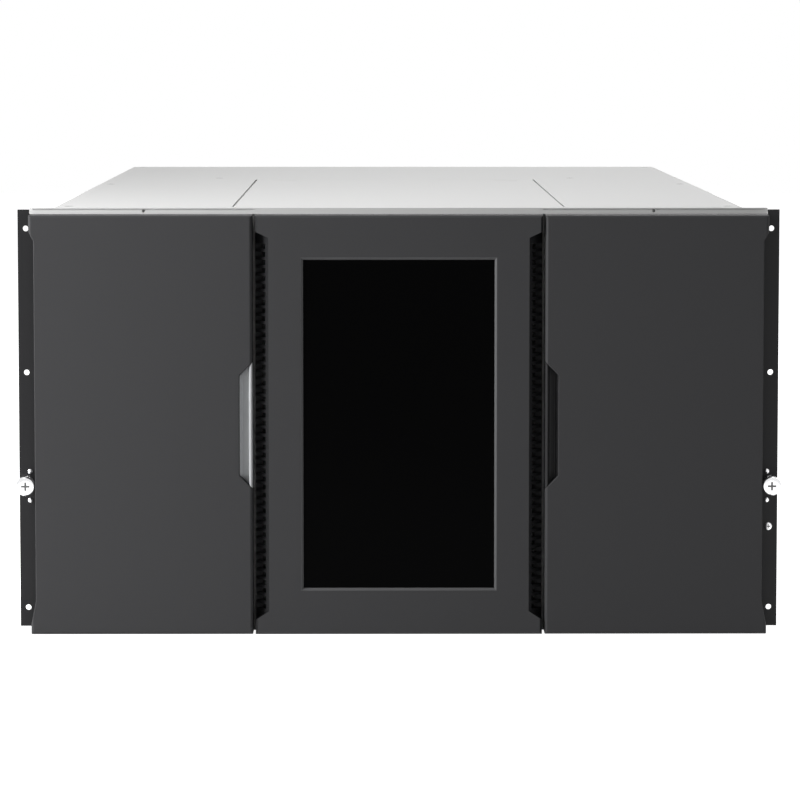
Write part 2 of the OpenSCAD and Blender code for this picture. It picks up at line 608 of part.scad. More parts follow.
// Housing that takes a cartridge in through its open mouth, which faces the drives at rest
module picker_housing() color("dimgray") translate([0, carriage_y, pick_z]) difference() {
    block([-pick_w / 2, -pick_l / 2, 0], [pick_w / 2, pick_l / 2, pick_h]);
    block([-pick_w / 2 + picker_wall, -pick_l / 2 + picker_wall, picker_wall],
          [pick_w / 2 - picker_wall, pick_l / 2 + 1, pick_h - picker_wall]);
    block([-pick_w / 2 + 22, -pick_l / 2 + 18, pick_h - picker_wall - 1],
          [pick_w / 2 - 22, pick_l / 2 - 22, pick_h + 1]);
}
// Two jaws on a crossbar that slides on the housing's floor
module gripper() color("silver") translate([0, carriage_y, pick_z + picker_wall]) {
    block([-jaw_x, -pick_l / 2 + 6, 0], [jaw_x, -pick_l / 2 + 24, 16]);
    for (s = sides) on_side(s) {
        block([jaw_x - 4, -pick_l / 2 + 24, 4], [jaw_x, pick_l / 2, 14]);
        block([jaw_x - 7, pick_l / 2 - 5, 4], [jaw_x - 4, pick_l / 2, 14]);
    }
}

// ---- Drives, supplies and controller ----

drive_x = drive_w / 2 - 2;
drive_end = rear_y - 34;
// Half-height drive with a cartridge mouth towards the aisle
module tape_drive(i) color("dimgray") translate([0, 0, drive_z(i)]) difference() {
    block([-drive_x, drive_front, sheet], [drive_x, drive_end, drive_pitch - 1]);
    block([-tape_w / 2 - 1, drive_front - 1, 9], [tape_w / 2 + 1, drive_front + 24, 11.5 + tape_t]);
    block([-drive_x + 10, drive_front - 1, 4], [-drive_x + 18, drive_front + 2, 7]);
    for (s = sides, k = [0:2]) translate([s * drive_x, drive_front + 30 + k * (drive_end - drive_front - 60) / 2, 12])
        rod_x(1.5, -3, 3);
    along_y(drive_end - 6, drive_end + 1) rect([-60, 8], [-28, 34]);
}
function drive_z(i) = drive_z0 + (i - 1) * drive_pitch;
// Sheet-metal sled with a vented rear plate, data ports, a latch and a pull loop
module drive_sled(i) translate([0, 0, drive_z(i)]) {
    color("silver") {
        block([-drive_w / 2, drive_front + 6, 0.3], [drive_w / 2, rear_y, sheet]);
        for (s = sides) on_side(s) block([drive_w / 2 - 1, drive_front + 6, 0.3], [drive_w / 2, rear_y, 22]);
        along_y(rear_y, rear_y + 2) difference() {
            rect([-drive_w / 2 - 3, 0.3], [drive_w / 2 + 3, drive_pitch - 0.3]);
            for (k = [0:11]) rect([-16 + k * 4, 10], [-14 + k * 4, 32]);
            for (x = [-62, -46]) rect([x, 12], [x + 11, 20]);
        }
    }
    color("black") for (x = [-62, -46]) along_y(rear_y - 8, rear_y + 2) difference() {
        rect([x, 12], [x + 11, 20]);
        rect([x + 1.5, 14.2], [x + 9.5, 17.8]);
    }
    color("gainsboro") {
        for (z = [9, 29]) translate([60, 0, z]) rod_y(1.6, rear_y + 2, rear_y + 12);
        block([57.5, rear_y + 12, 6], [62.5, rear_y + 15, 32]);
    }
    color("steelblue") block([40, rear_y + 2, 16], [48, rear_y + 6, 25]);
}

fan_r = 19;
fan_x = psu_w / 2 - 24;
function fan_z(i) = psu_z(i) + psu_h / 2;
psu_face = rear_y + 1.5;
inlet_x = -psu_w / 2 + 10;
lever_x = psu_w / 2 - 4;
lever_y = psu_face + 2.4;
lever_z = 8;
lever_pin_r = 1.2;
// Supply case with fan opening, mains inlet and a pull handle on its rear face
module psu(i) translate([bay_x, 0, 0]) {
    color("silver") difference() {
        union() {
            block([-psu_w / 2, rear_y - psu_l, psu_z(i)], [psu_w / 2, rear_y, psu_z(i) + psu_h]);
            block([-psu_w / 2 - 5, rear_y, psu_z(i) - 5], [psu_w / 2 + 5, psu_face, psu_z(i) + psu_h + 5]);
        }
        block([-psu_w / 2 + sheet, rear_y - psu_l + sheet, psu_z(i) + sheet],
              [psu_w / 2 - sheet, rear_y - sheet, psu_z(i) + psu_h - sheet]);
        translate([fan_x, 0, fan_z(i)]) rod_y(fan_r + 1, rear_y - 3, psu_face + 1);
        along_y(rear_y - 3, psu_face + 1) rect([inlet_x, psu_z(i) + 10], [inlet_x + 27, psu_z(i) + 30]);
        along_y(rear_y - psu_l - 1, rear_y - psu_l + 3)
            for (k = [0:8]) rect([-36 + k * 8, psu_z(i) + 14], [-32 + k * 8, psu_z(i) + psu_h - 14]);
    }
    color("silver") translate([lever_x, lever_y, psu_z(i) + lever_z]) {
        for (s = sides) on_side(s) block([3.2, psu_face - lever_y, -1.8], [4.8, 1.8, 1.8]);
        rod_x(lever_pin_r, -4, 4);
    }
    color("black") difference() {
        along_y(rear_y - 26, psu_face + 0.8) rect([inlet_x, psu_z(i) + 10], [inlet_x + 27, psu_z(i) + 30]);
        along_y(rear_y - 20, psu_face + 2) rect([inlet_x + 1.5, psu_z(i) + 12], [inlet_x + 25.5, psu_z(i) + 28]);
    }
    color("silver") along_y(rear_y - 24, rear_y - 5) for (dx = [6.5, 13.5, 20.5])
        rect([inlet_x + dx - 1, psu_z(i) + (dx == 13.5 ? 21.5 : 16.5)],
             [inlet_x + dx + 1, psu_z(i) + (dx == 13.5 ? 25.5 : 20.5)]);
    color("gainsboro") translate([0, 0, psu_z(i)]) {
        for (z = [36, psu_h - 14]) block([-34, psu_face, z], [-30, rear_y + rear_reach - 4, z + 4]);
        block([-34, rear_y + rear_reach - 4, 36], [-30, rear_y + rear_reach, psu_h - 10]);
    }
    color("silver") fan_grille(i);
}
// Rings and spokes over the fan, joined to the face, with the fan's stator behind
module fan_grille(i) translate([fan_x, 0, fan_z(i)]) {
    along_y(rear_y - 1, psu_face) {
        for (r = [8, 14]) difference() {
            circle(r = r);
            circle(r = r - 1.2);
        }
        for (a = [45, 135]) rotate(a) square([2 * fan_r + 2.4, 1.4], center = true);
        circle(r = 3);
    }
    rod_y(2, rear_y - 20, rear_y - 1);
}
// Fan rotor that turns on the stator's pin
module psu_fan(i) color("black") translate([bay_x + fan_x, rear_y - 4, fan_z(i)]) difference() {
    union() {
        rod_y(8, -12, 0);
        for (k = [0:6]) rotate([0, k * 360 / 7, 0]) translate([fan_r / 2 + 3, -6, 0]) rotate([38, 0, 0])
            cube([fan_r - 6, 1.2, 13], center = true);
    }
    rod_y(2 + run_gap, -14, 2);
}
// Release lever, hinged at its lower end on the supply's face
module psu_lever(i) color("firebrick") translate([bay_x + lever_x, lever_y, psu_z(i) + lever_z]) {
    difference() {
        block([-3, -1.5, -1.5], [3, 1.5, 30]);
        rod_x(lever_pin_r + run_gap, -4, 4);
    }
    block([-3, 1.5, 25], [3, 8, 28]);
}

ctrl_face = rear_y + 1.5;
// Controller: a board on a carrier whose rear plate holds the ports
module controller() translate([-bay_x, 0, ctrl_z]) {
    color("silver") {
        along_y(rear_y, ctrl_face) difference() {
            rect([-ctrl_w / 2, 0], [ctrl_w / 2, ctrl_h]);
            port_places() rect([0, 0], [16, 14]);
            for (k = [0:13]) rect([20, 20 + k * 11], [44, 24 + k * 11]);
        }
        block([-ctrl_w / 2 + 10, rear_y - ctrl_l, 12], [-ctrl_w / 2 + 11.5, rear_y, ctrl_h - 12]);
        for (z = [12, ctrl_h - 13.5])
            block([-ctrl_w / 2 + 11.5, rear_y - ctrl_l, z], [ctrl_w / 2 - 12, rear_y, z + 1.5]);
    }
    color("gold") for (y = [20, ctrl_l - 20], z = [30, ctrl_h - 30])
        translate([-ctrl_w / 2 + 11.5, rear_y - y, z]) rod_x(3, 0, 5);
    color("green") block([-ctrl_w / 2 + 16.5, rear_y - ctrl_l + 6, 18], [-ctrl_w / 2 + 18.1, rear_y - 1, ctrl_h - 18]);
    color("dimgray") for (k = [0:2]) block([-ctrl_w / 2 + 18.1, rear_y - 150, 34 + k * 46],
                                           [-ctrl_w / 2 + (k == 1 ? 28 : 21), rear_y - 110, 68 + k * 46]);
}
port_z = [30, 56, 96];
module port_places() for (z = port_z) translate([-ctrl_w / 2 + 18.1, z]) children();
// Two network jacks and a serial bus socket on the board
module controller_ports() color("black") translate([-bay_x, 0, ctrl_z]) {
    along_y(rear_y - 16, rear_y + 2) port_places() difference() {
        rect([0, 0], [16, 14]);
        rect([1.8, 1.8], [14.2, 12.2]);
    }
    along_y(rear_y - 18, rear_y - 16) port_places() rect([0, 0], [16, 14]);
}
module rear_thumbscrews() color("whitesmoke")
    for (p = concat([for (i = [1:drives], s = sides) [s * (drive_w / 2 - 3), rear_y + 2, drive_z(i) + 36]],
                    [for (z = [6, ctrl_h - 6]) [-bay_x + ctrl_w / 2 - 5, ctrl_face, ctrl_z + z]]))
        translate(p) {
            rod_y(3.6, 0, 1);
            rod_y(3, 1, 6);
        }

base_pan();
side_panel(-1);  // left_side_panel
side_panel(1);  // right_side_panel
rear_panel();
front_frame();
top_cover();
centre_cover();
cover_screws();
rack_ear(-1);  // left_rack_ear
rack_ear(1);  // right_rack_ear
ear_rivets();
thumbscrew_sleeves();
thumbscrew(-1);  // left_thumbscrew
thumbscrew(1);  // right_thumbscrew
centre_bezel();
screen_trim();
screen_glass();
display_panel();
magazine_bezel(-1);  // left_magazine_bezel
magazine_bezel(1);  // right_magazine_bezel
handle(-1);  // left_handle
handle(1);  // right_handle
magazine_tray(-1, mail_rows, rows);  // left_magazine_tray
magazine_tray(1, 0, rows);  // right_magazine_tray
magazine_tray(-1, 0, mail_rows);  // mail_slot_tray
tapes(-1);  // left_tapes
tapes(1);  // right_tapes
guide_rails(-1);  // left_guide_rails
guide_rails(1);  // right_guide_rails
lift_racks();
lift_platform();
platform_rods();
lift_shaft(front_shaft_y);  // front_lift_shaft
lift_shaft(rear_shaft_y);  // rear_lift_shaft
lift_motor();
carriage();
turntable();
picker_housing();
gripper();
for (i = [1:drives]) {
    tape_drive(i);
    drive_sled(i);
}
psu(0);  // psu_1
psu(1);  // psu_2
psu_fan(0);  // psu_fan_1
psu_fan(1);  // psu_fan_2
psu_lever(0);  // psu_lever_1
psu_lever(1);  // psu_lever_2
controller();
controller_ports();
rear_thumbscrews();
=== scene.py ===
import json
import math

import bmesh
import bpy
import numpy as np
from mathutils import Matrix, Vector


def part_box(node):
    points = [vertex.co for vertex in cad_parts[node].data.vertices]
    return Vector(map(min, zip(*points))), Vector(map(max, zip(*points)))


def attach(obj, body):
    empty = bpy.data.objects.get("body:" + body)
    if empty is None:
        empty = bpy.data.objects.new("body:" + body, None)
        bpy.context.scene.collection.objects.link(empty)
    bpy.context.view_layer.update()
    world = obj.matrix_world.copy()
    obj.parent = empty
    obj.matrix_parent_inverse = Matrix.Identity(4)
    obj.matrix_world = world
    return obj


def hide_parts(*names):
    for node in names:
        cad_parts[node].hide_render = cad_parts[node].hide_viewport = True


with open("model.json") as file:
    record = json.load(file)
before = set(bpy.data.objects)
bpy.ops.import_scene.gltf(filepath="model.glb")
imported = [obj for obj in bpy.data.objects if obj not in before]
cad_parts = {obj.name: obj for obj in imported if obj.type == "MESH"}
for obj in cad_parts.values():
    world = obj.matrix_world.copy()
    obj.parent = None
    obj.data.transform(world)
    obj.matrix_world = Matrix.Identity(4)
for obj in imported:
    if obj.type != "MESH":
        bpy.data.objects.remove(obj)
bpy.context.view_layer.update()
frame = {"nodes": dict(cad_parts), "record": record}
nodes = frame["nodes"]

# Camera level with the room, aimed down a little at the front of the library
cameraSetup = {"place": (-0.0137, -2.9385, 0.3675), "down": 5.04, "right": 0.33, "lens": 181.8}


def makeCamera(setup):
    data = bpy.data.cameras.new("frontCamera")
    data.lens = setup["lens"]
    data.sensor_width = 36
    data.clip_end = 60
    camera = bpy.data.objects.new("frontCamera", data)
    camera.location = setup["place"]
    camera.rotation_euler = (math.radians(90 - setup["down"]), 0, math.radians(-setup["right"]))
    bpy.context.scene.collection.objects.link(camera)
    bpy.context.scene.camera = camera


makeCamera(cameraSetup)
bpy.context.scene.view_settings.view_transform = "Standard"
print("camera ready")

finishes = {
    "cover_paint": {"color": (0.70, 0.70, 0.695), "rough": 0.55, "shine": 0.12, "grain": 900, "bump": 0.05},
    "sheet_metal": {"color": (0.60, 0.61, 0.61), "rough": 0.38, "metal": 0.85, "grain": 700, "bump": 0.04,
                    "mottle": 0.10},
    "black_paint": {"color": (0.010, 0.010, 0.011), "rough": 0.42, "shine": 0.22, "grain": 1400, "bump": 0.08},
    "dark_screw": {"color": (0.10, 0.10, 0.10), "rough": 0.35, "metal": 0.8},
    "bright_metal": {"color": (0.82, 0.82, 0.83), "rough": 0.18, "metal": 1.0},
    "bezel_plastic": {"color": (0.045, 0.045, 0.047), "rough": 0.50, "shine": 0.12, "grain": 1900, "bump": 0.10},
    # Painted shade for the vent slots: the bezel plastic darkened on the vent faces for the shade inside them
    "vent_painted_shade": {"color": (0.012, 0.012, 0.013), "rough": 0.55, "shine": 0.12, "grain": 1900, "bump": 0.08},
    "screen_trim": {"color": (0.075, 0.075, 0.078), "rough": 0.42, "shine": 0.3},
    "screen_glass": {"color": (0.0007, 0.0007, 0.0008), "rough": 0.10, "shine": 0.015},
    "display_can": {"color": (0.55, 0.56, 0.57), "rough": 0.35, "metal": 0.9},
    # Painted highlight and painted shade: silver_handle and dark_handle are one handle plastic, the left lightened for
    # the light its pocket catches, the right darkened for the shade its pocket faces
    "silver_handle": {"color": (0.46, 0.47, 0.48), "rough": 0.40, "grain": 1800, "bump": 0.04},
    "dark_handle": {"color": (0.018, 0.018, 0.019), "rough": 0.46, "shine": 0.2, "grain": 1800, "bump": 0.05},
    "tray_plastic": {"color": (0.045, 0.045, 0.048), "rough": 0.52, "grain": 1200, "bump": 0.08},
    "tape_shell": {"color": (0.035, 0.065, 0.13), "rough": 0.42, "grain": 1600, "bump": 0.08},
    "rack_steel": {"color": (0.50, 0.50, 0.47), "rough": 0.40},
    "shaft_steel": {"color": (0.70, 0.70, 0.71), "rough": 0.16, "metal": 1.0},
    "robot_alloy": {"color": (0.60, 0.61, 0.63), "rough": 0.34, "metal": 0.9, "grain": 900, "bump": 0.03},
    "motor_case": {"color": (0.06, 0.06, 0.065), "rough": 0.4},
    "picker_plastic": {"color": (0.07, 0.075, 0.08), "rough": 0.48, "grain": 1400, "bump": 0.08},
    "drive_case": {"color": (0.34, 0.345, 0.35), "rough": 0.38, "metal": 0.8, "grain": 800, "bump": 0.03,
                   "mottle": 0.10},
    "sled_steel": {"color": (0.58, 0.59, 0.60), "rough": 0.34, "metal": 0.9, "grain": 800, "bump": 0.03,
                   "mottle": 0.08},
    "psu_steel": {"color": (0.60, 0.61, 0.62), "rough": 0.32, "metal": 0.9, "grain": 800, "bump": 0.03,
                  "mottle": 0.08},
    "fan_plastic": {"color": (0.02, 0.02, 0.022), "rough": 0.42},
    "lever_plastic": {"color": (0.42, 0.045, 0.02), "rough": 0.40},
    "controller_metal": {"color": (0.60, 0.61, 0.62), "rough": 0.32, "metal": 0.9, "grain": 800, "bump": 0.03,
                         "mottle": 0.08},
    "port_plastic": {"color": (0.015, 0.015, 0.015), "rough": 0.35},
    "contact_gold": {"color": (0.80, 0.56, 0.22), "rough": 0.25, "metal": 1.0},
    "lamp_window": {"color": (0.05, 0.32, 0.10), "rough": 0.25},
    "tab_plastic": {"color": (0.24, 0.25, 0.26), "rough": 0.45},
}


def makeFinish(name, look):
    # Principled surface with fine grain in its bump and, where asked, a faint mottle in its roughness
    material = bpy.data.materials.new(name)
    material.use_nodes = True
    tree = material.node_tree
    shader = tree.nodes["Principled BSDF"]
    shader.inputs["Base Color"].default_value = (*look["color"], 1)
    shader.inputs["Roughness"].default_value = look["rough"]
    shader.inputs["Metallic"].default_value = look.get("metal", 0)
    shader.inputs["Specular IOR Level"].default_value = look.get("shine", 0.5)
    place = tree.nodes.new("ShaderNodeTexCoord")
    if look.get("grain"):
        noise = tree.nodes.new("ShaderNodeTexNoise")
        noise.inputs["Scale"].default_value = look["grain"]
        noise.inputs["Detail"].default_value = 2
        bump = tree.nodes.new("ShaderNodeBump")
        bump.inputs["Strength"].default_value = look["bump"]
        bump.inputs["Distance"].default_value = 0.0004
        tree.links.new(place.outputs["Object"], noise.inputs["Vector"])
        tree.links.new(noise.outputs["Fac"], bump.inputs["Height"])
        tree.links.new(bump.outputs["Normal"], shader.inputs["Normal"])
    if look.get("mottle"):
        cloud = tree.nodes.new("ShaderNodeTexNoise")
        cloud.inputs["Scale"].default_value = 14
        cloud.inputs["Detail"].default_value = 4
        spread = tree.nodes.new("ShaderNodeMapRange")
        spread.inputs["To Min"].default_value = look["rough"] - look["mottle"]
        spread.inputs["To Max"].default_value = look["rough"] + look["mottle"]
        tree.links.new(place.outputs["Object"], cloud.inputs["Vector"])
        tree.links.new(cloud.outputs["Fac"], spread.inputs["Value"])
        tree.links.new(spread.outputs["Result"], shader.inputs["Roughness"])
    return material


materials = {name: makeFinish(name, look) for name, look in finishes.items()}
for part in frame["record"]["subparts"]:
    for holder in nodes[part["node"]].material_slots:
        holder.material = materials[part["material_slot"]]
print("finishes on", len(nodes), "nodes")

stageSetup = {"floorSize": 14.0, "floorColor": 0.80, "floorGlow": 0.95, "skyLight": 0.14}


def seenRay(tree):
    # 1 for the rays that show the background: from the camera, a reflection or glass; 0 for the others
    ray = tree.nodes.new("ShaderNodeLightPath")
    largest = ray.outputs["Is Camera Ray"]
    for kind in ("Is Glossy Ray", "Is Transmission Ray"):
        choose = tree.nodes.new("ShaderNodeMath")
        choose.operation = "MAXIMUM"
        tree.links.new(largest, choose.inputs[0])
        tree.links.new(ray.outputs[kind], choose.inputs[1])
        largest = choose.outputs[0]
    return largest


def makeStage(setup):
    # White sky where it is seen, a weaker light from it elsewhere, and a glowing floor that keeps shadows
    world = bpy.data.worlds.new("studio")
    bpy.context.scene.world = world
    world.use_nodes = True
    tree = world.node_tree
    back = tree.nodes["Background"]
    back.inputs["Color"].default_value = (1, 1, 1, 1)
    level = tree.nodes.new("ShaderNodeMapRange")
    level.inputs["To Min"].default_value = setup["skyLight"]
    level.inputs["To Max"].default_value = 1.0
    tree.links.new(seenRay(tree), level.inputs["Value"])
    tree.links.new(level.outputs["Result"], back.inputs["Strength"])

    side = setup["floorSize"] / 2
    sheet = bpy.data.meshes.new("floor")
    sheet.from_pydata([(-side, -side, 0), (side, -side, 0), (side, side, 0), (-side, side, 0)], [], [(0, 1, 2, 3)])
    floor = bpy.data.objects.new("floor", sheet)
    bpy.context.scene.collection.objects.link(floor)
    paint = bpy.data.materials.new("paleFloor")
    paint.use_nodes = True
    tree = paint.node_tree
    shader = tree.nodes["Principled BSDF"]
    shader.inputs["Base Color"].default_value = (setup["floorColor"],) * 3 + (1,)
    shader.inputs["Roughness"].default_value = 0.9
    shader.inputs["Emission Color"].default_value = (1, 1, 1, 1)
    glow = tree.nodes.new("ShaderNodeMath")
    glow.operation = "MULTIPLY"
    glow.inputs[1].default_value = setup["floorGlow"]
    tree.links.new(seenRay(tree), glow.inputs[0])
    tree.links.new(glow.outputs[0], shader.inputs["Emission Strength"])
    sheet.materials.append(paint)


makeStage(stageSetup)

lamps = {
    "leftBox": {"place": (-0.92, -0.78, 0.56), "aim": (-0.1, -0.42, 0.14), "size": (0.35, 0.5), "power": 15},
    "rightBox": {"place": (1.6, -1.9, 1.1), "aim": (0.1, -0.4, 0.13), "size": (0.9, 1.0), "power": 1.5},
    "topBox": {"place": (0.0, 0.2, 2.4), "aim": (0.0, 0.0, 0.2), "size": (2.2, 2.2), "power": 13},
    "backBox": {"place": (0.5, 2.6, 1.5), "aim": (0.0, 0.4, 0.13), "size": (1.6, 1.2), "power": 17},
}


def makeLamp(name, setup):
    data = bpy.data.lights.new(name, "AREA")
    data.shape = "RECTANGLE"
    data.size, data.size_y = setup["size"]
    data.energy = setup["power"]
    lamp = bpy.data.objects.new(name, data)
    place, aim = np.array(setup["place"]), np.array(setup["aim"])
    lamp.location = place
    away = place - aim
    flat = math.hypot(away[0], away[1])
    lamp.rotation_euler = (math.atan2(flat, away[2]), 0, math.atan2(away[0], -away[1]))
    bpy.context.scene.collection.objects.link(lamp)


for lampName, lampSetup in lamps.items():
    makeLamp(lampName, lampSetup)
print("stage and lamps ready")


def addPiece(name, points, faces, slot, body, smooth=True):
    # A new mesh object at the origin, finished and riding on its body
    sheet = bpy.data.meshes.new(name)
    sheet.from_pydata(points.tolist(), [], faces)
    sheet.materials.append(materials[slot])
    sheet.update()
    if smooth:
        sheet.shade_smooth()
    piece = bpy.data.objects.new(name, sheet)
    bpy.context.scene.collection.objects.link(piece)
    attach(piece, body)
    return piece


def gridFaces(rows, columns, closed=False, start=0):
    # Quads between neighbouring points of a rows x columns grid; closed joins the last column to the first
    across = columns if closed else columns - 1
    i, j = np.meshgrid(np.arange(rows - 1), np.arange(across), indexing="ij")
    k = (j + 1) % columns
    quads = np.stack([i * columns + j, i * columns + k, (i + 1) * columns + k, (i + 1) * columns + j], axis=-1)
    return (quads.reshape(-1, 4) + start).tolist()


def softCopy(node, body, slot, width, segments=2, angle=25):
    # A copy of a solid's mesh with merged corners and narrow rounded edges, standing for the solid
    source = nodes[node]
    sheet = source.data.copy()
    piece = bpy.data.objects.new(node + "_soft", sheet)
    bpy.context.scene.collection.objects.link(piece)
    work = bmesh.new()
    work.from_mesh(sheet)
    bmesh.ops.remove_doubles(work, verts=work.verts, dist=0.000002)
    bmesh.ops.dissolve_limit(work, angle_limit=math.radians(1), verts=work.verts, edges=work.edges)
    work.to_mesh(sheet)
    work.free()
    for key in list(piece.keys()):
        del piece[key]
    sheet.materials.clear()
    sheet.materials.append(materials[slot])
    sheet.shade_smooth()
    bevel = piece.modifiers.new("edges", "BEVEL")
    bevel.width = width
    bevel.segments = segments
    bevel.limit_method = "ANGLE"
    bevel.angle_limit = math.radians(angle)
    level = piece.modifiers.new("normals", "WEIGHTED_NORMAL")
    level.keep_sharp = True
    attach(piece, body)
    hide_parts(node)
    return piece


softEdges = {
    "centre_bezel": ("cabinet", "bezel_plastic", 0.00035),
    "left_magazine_bezel": ("left_magazine", "bezel_plastic", 0.0005),
    "right_magazine_bezel": ("right_magazine", "bezel_plastic", 0.0005),
    # Painted highlight on the left handle and painted shade on the right handle: lit and shaded copies of one handle
    # plastic
    "left_handle": ("left_magazine", "silver_handle", 0.0004),
    "right_handle": ("right_magazine", "dark_handle", 0.0004),
    "screen_glass": ("cabinet", "screen_glass", 0.0003),
    "left_rack_ear": ("cabinet", "black_paint", 0.0003),
    "right_rack_ear": ("cabinet", "black_paint", 0.0003),
    "front_frame": ("cabinet", "cover_paint", 0.0003),
    "top_cover": ("cabinet", "cover_paint", 0.0004),
    "centre_cover": ("cabinet", "cover_paint", 0.0004),
    "base_pan": ("cabinet", "sheet_metal", 0.0004),
    "left_side_panel": ("cabinet", "sheet_metal", 0.0004),
    "right_side_panel": ("cabinet", "sheet_metal", 0.0004),
    "rear_panel": ("cabinet", "sheet_metal", 0.0003),
    "left_guide_rails": ("cabinet", "sheet_metal", 0.0003),
    "right_guide_rails": ("cabinet", "sheet_metal", 0.0003),
    "left_magazine_tray": ("left_magazine", "tray_plastic", 0.0005),
    "mail_slot_tray": ("left_magazine", "tray_plastic", 0.0005),
    "right_magazine_tray": ("right_magazine", "tray_plastic", 0.0005),
    "left_tapes": ("left_magazine", "tape_shell", 0.0009),
    "right_tapes": ("right_magazine", "tape_shell", 0.0009),
    "lift_platform": ("lift", "robot_alloy", 0.0006),
    "lift_motor": ("lift", "motor_case", 0.0008),
    "carriage": ("carriage", "robot_alloy", 0.0005),
    "turntable": ("picker", "robot_alloy", 0.0004),
    "picker_housing": ("picker", "picker_plastic", 0.0008),
    "gripper": ("gripper", "robot_alloy", 0.0006),
    "psu_1": ("supply_1", "psu_steel", 0.0003),
    "psu_2": ("supply_2", "psu_steel", 0.0003),
    "psu_lever_1": ("lever_1", "lever_plastic", 0.0005),
    "psu_lever_2": ("lever_2", "lever_plastic", 0.0005),
    "controller": ("cabinet", "controller_metal", 0.0003),
    "controller_ports": ("cabinet", "port_plastic", 0.0003),
}
for number in range(1, 7):
    softEdges["tape_drive_%d" % number] = ("cabinet", "drive_case", 0.0005)
    softEdges["drive_sled_%d" % number] = ("cabinet", "sled_steel", 0.0003)
for node, (body, slot, width) in softEdges.items():
    softCopy(node, body, slot, width)
print("rounded edges on", len(softEdges), "nodes")

# Faces of the centre bezel's vents, behind its front plane and outside the flat front, take painted shade: a darker
# plastic standing for the shade inside the vent slots
vents = {"from": 0.0808, "depth": 0.0006}
bezel = bpy.data.objects["centre_bezel_soft"]
bezel.data.materials.append(materials["vent_painted_shade"])
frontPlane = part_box("centre_bezel")[0].y
for face in bezel.data.polygons:
    if abs(face.center.x) > vents["from"] and face.center.y > frontPlane + vents["depth"]:
        face.material_index = 1
print("vents darkened")


def framePiece(name, low, high, profile, slot, body):
    # Closed ring round a rectangle in the X-Z plane; profile gives how far in and how far back each loop lies
    loops = []
    for inset, back in profile:
        x0, x1, z0, z1 = low[0] + inset, high[0] - inset, low[1] + inset, high[1] - inset
        loops.append([(x0, back, z0), (x1, back, z0), (x1, back, z1), (x0, back, z1)])
    loops.append(loops[0])
    faces = gridFaces(len(loops), 4, closed=True)
    return addPiece(name, np.array(loops).reshape(-1, 3), faces, slot, body, False)


trimLow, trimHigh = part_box("screen_trim")
trim = {"width": 0.0016, "slope": 0.0013, "rim": 0.0003, "depth": 0.0052}
trimFront = trimLow.y - 0.0003
framePiece("screen_trim_ring", (trimLow.x, trimLow.z), (trimHigh.x, trimHigh.z),
           ((0, trimFront + trim["depth"]), (0, trimFront), (trim["rim"], trimFront),
            (trim["width"], trimFront + trim["slope"]), (trim["width"], trimFront + trim["depth"])),
           "screen_trim", "cabinet")
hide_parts("screen_trim")
print("screen trim ready")


def turned(place, axis, profile, around=32, teeth=0, depth=0.0):
    # Points and faces of a turned form: (radius, along) pairs along an axis, with a knurl where teeth is set
    turn = np.linspace(0, 2 * math.pi, around, endpoint=False)
    shape = np.array(profile)
    radius, along = shape[:, :1], shape[:, 1:]
    middle = (along > along.max() * 0.1) & (along < along.max() * 0.9)
    r = radius + depth * middle * np.abs(np.cos(turn * teeth / 2)) * (teeth > 0)
    flat = 0 * turn
    grid = {"x": [along + flat, r * np.cos(turn), r * np.sin(turn)],
            "y": [r * np.sin(turn), along + flat, r * np.cos(turn)],
            "z": [r * np.cos(turn), r * np.sin(turn), along + flat]}[axis]
    points = np.stack(grid, axis=-1).reshape(-1, 3) + np.array(place)
    return points, gridFaces(len(shape), around, closed=True)


def cushion(low, high, edge=0.0003):
    # Points and faces of a block with narrow chamfers, from its lowest to its highest corner
    low, high = np.array(low, float), np.array(high, float)
    rows = []
    for inset, z in ((1, low[2]), (0, low[2] + edge), (0, high[2] - edge), (1, high[2])):
        a, b = low + inset * edge, high - inset * edge
        rows += [(a[0], a[1], z), (b[0], a[1], z), (b[0], b[1], z), (a[0], b[1], z)]
    faces = gridFaces(4, 4, closed=True) + [[3, 2, 1, 0], [12, 13, 14, 15]]
    return np.array(rows), faces


def crossMark(place, long, half, back=-1):
    # A flat cross in the X-Z plane, seen from the front when back is -1
    arms = np.array([(-long, -half), (-half, -half), (-half, -long), (half, -long), (half, -half), (long, -half),
                     (long, half), (half, half), (half, long), (-half, long), (-half, half), (-long, half)])
    points = np.stack([place[0] + arms[:, 0], np.full(12, place[1]), place[2] + arms[:, 1]], axis=-1)
    return points, [list(range(12)) if back < 0 else list(range(11, -1, -1))]


def hoop(place, radius, wire, around=40, ring=8):
    # A closed ring of wire in the X-Z plane
    u = np.linspace(0, 2 * math.pi, around, endpoint=False)[:, None]
    v = np.linspace(0, 2 * math.pi, ring, endpoint=False)
    r = radius + wire * np.cos(v)
    points = np.stack([place[0] + r * np.cos(u), place[1] + wire * np.sin(v) + 0 * u, place[2] + r * np.sin(u)], axis=-1)
    i, j = np.meshgrid(np.arange(around), np.arange(ring), indexing="ij")
    n, k = (i + 1) % around, (j + 1) % ring
    quads = np.stack([i * ring + j, i * ring + k, n * ring + k, n * ring + j], axis=-1)
    return points.reshape(-1, 3), quads.reshape(-1, 4).tolist()


def groupPiece(name, parts, slot, body, angle=30):
    # One object from several point and face lists, with closed poles and outward faces
    points, faces, start = [], [], 0
    for some, quads in parts:
        points.append(some)
        faces += [[start + k for k in quad] for quad in quads]
        start += len(some)
    piece = addPiece(name, np.concatenate(points), faces, slot, body)
    work = bmesh.new()
    work.from_mesh(piece.data)
    bmesh.ops.remove_doubles(work, verts=work.verts, dist=0.0000005)
    bmesh.ops.dissolve_degenerate(work, edges=work.edges, dist=0.0000004)
    bmesh.ops.recalc_face_normals(work, faces=work.faces)
    work.to_mesh(piece.data)
    work.free()
    piece.data.set_sharp_from_angle(angle=math.radians(angle))
    return piece


